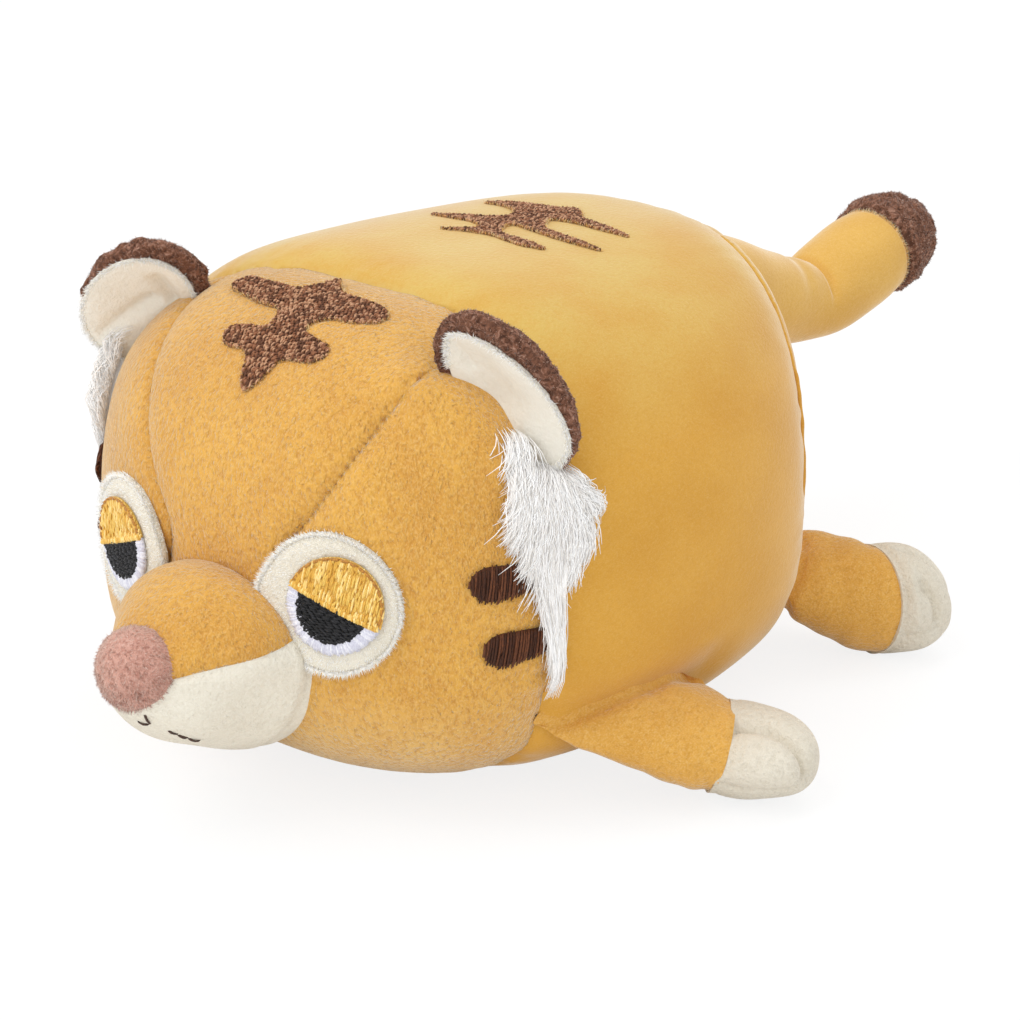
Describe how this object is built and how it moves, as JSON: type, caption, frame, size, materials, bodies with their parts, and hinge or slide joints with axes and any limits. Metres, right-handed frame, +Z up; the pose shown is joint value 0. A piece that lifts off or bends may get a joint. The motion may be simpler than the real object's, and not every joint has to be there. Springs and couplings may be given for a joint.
{
  "type": "plush tiger",
  "caption": "Stuffed toy tiger lying flat on its belly, with a loaf-shaped body, sleepy embroidered eyes, folding ears, splayed legs and a bent tail.",
  "frame": {"origin": "middle of the flat of the belly, under the widest part of the body", "axes": "+Z up, +Y from the nose to the tail, +X to the animal's left"},
  "size_m": [0.1678, 0.2528, 0.0974],
  "materials": {
    "coat_plush": "short golden tan plush pile",
    "face_plush": "short orange plush pile with a grainy nap",
    "cream_plush": "short cream plush pile",
    "brown_plush": "curly brown plush pile",
    "pink_plush": "short dusty pink plush pile",
    "white_fur": "long white fur",
    "brown_thread": "matt brown embroidery thread",
    "dark_thread": "dark brown embroidery thread",
    "gold_thread": "shiny gold satin stitch",
    "black_thread": "black satin stitch",
    "white_thread": "white satin stitch",
    "filling": "loose white polyester fibre"
  },
  "bodies": {
    "torso": {"body_filling": "filling", "belly_panel": "coat_plush", "back_panel": "coat_plush", "forehead_panel": "face_plush", "cheek_panel_left": "face_plush", "cheek_panel_right": "face_plush", "forehead_mark": "brown_thread", "back_mark": "brown_thread", "cheek_stripe_upper_left": "dark_thread", "cheek_stripe_lower_left": "dark_thread", "cheek_stripe_upper_right": "dark_thread", "cheek_stripe_lower_right": "dark_thread", "snout_bridge": "face_plush", "muzzle": "cream_plush", "nose": "pink_plush", "eye_patch_left": "cream_plush", "eye_patch_right": "cream_plush", "eye_white_left": "white_thread", "eye_white_right": "white_thread", "pupil_left": "black_thread", "pupil_right": "black_thread", "eyelid_left": "gold_thread", "eyelid_right": "gold_thread", "cheek_tuft_left": "white_fur", "cheek_tuft_right": "white_fur"},
    "left_ear": {"ear_back_left": "brown_plush", "ear_lining_left": "cream_plush"},
    "right_ear": {"ear_back_right": "brown_plush", "ear_lining_right": "cream_plush"},
    "left_foreleg": {"foreleg_left": "coat_plush", "foreleg_paw_left": "cream_plush"},
    "right_foreleg": {"foreleg_right": "coat_plush", "foreleg_paw_right": "cream_plush"},
    "left_hindleg": {"hindleg_left": "coat_plush", "hindleg_paw_left": "cream_plush"},
    "right_hindleg": {"hindleg_right": "coat_plush", "hindleg_paw_right": "cream_plush"},
    "tail_base": {"tail_root": "coat_plush"},
    "tail_far": {"tail_end": "coat_plush", "tail_tip": "brown_plush"}
  },
  "joints": [
    {"name": "left_ear_fold", "type": "hinge", "parent": "torso", "child": "left_ear", "pos_m": [0.04101, -0.03844, 0.07534], "axis": [0.7281, 0.3214, -0.6055], "range_deg": [-25, 12], "stiffness_Nm_per_rad": 0.02},
    {"name": "right_ear_fold", "type": "hinge", "parent": "torso", "child": "right_ear", "pos_m": [-0.03901, -0.03624, 0.07534], "axis": [0.7738, 0.0626, 0.6303], "range_deg": [-25, 12], "stiffness_Nm_per_rad": 0.02},
    {"name": "left_foreleg_lift", "type": "hinge", "parent": "torso", "child": "left_foreleg", "pos_m": [0.05464, -0.01654, 0.0198], "axis": [-0.1108, -0.9897, 0.0902], "range_deg": [-12, 30], "stiffness_Nm_per_rad": 0.06},
    {"name": "right_foreleg_lift", "type": "hinge", "parent": "torso", "child": "right_foreleg", "pos_m": [-0.05464, -0.01654, 0.0198], "axis": [-0.1108, 0.9897, -0.0902], "range_deg": [-12, 30], "stiffness_Nm_per_rad": 0.06},
    {"name": "left_hindleg_lift", "type": "hinge", "parent": "torso", "child": "left_hindleg", "pos_m": [0.03733, 0.05505, 0.01658], "axis": [0.6719, -0.7406, 0], "range_deg": [-12, 30], "stiffness_Nm_per_rad": 0.06},
    {"name": "right_hindleg_lift", "type": "hinge", "parent": "torso", "child": "right_hindleg", "pos_m": [-0.03733, 0.05505, 0.01658], "axis": [0.6719, 0.7406, 0], "range_deg": [-12, 30], "stiffness_Nm_per_rad": 0.06},
    {"name": "tail_wag", "type": "hinge", "parent": "torso", "child": "tail_base", "pos_m": [0, 0.0732, 0.06355], "axis": [0, 0, 1], "range_deg": [-20, 20], "stiffness_Nm_per_rad": 0.08},
    {"name": "tail_curl", "type": "hinge", "parent": "tail_base", "child": "tail_far", "pos_m": [0, 0.11493, 0.04959], "axis": [1, 0, 0], "range_deg": [-15, 15], "stiffness_Nm_per_rad": 0.08}
  ]
}
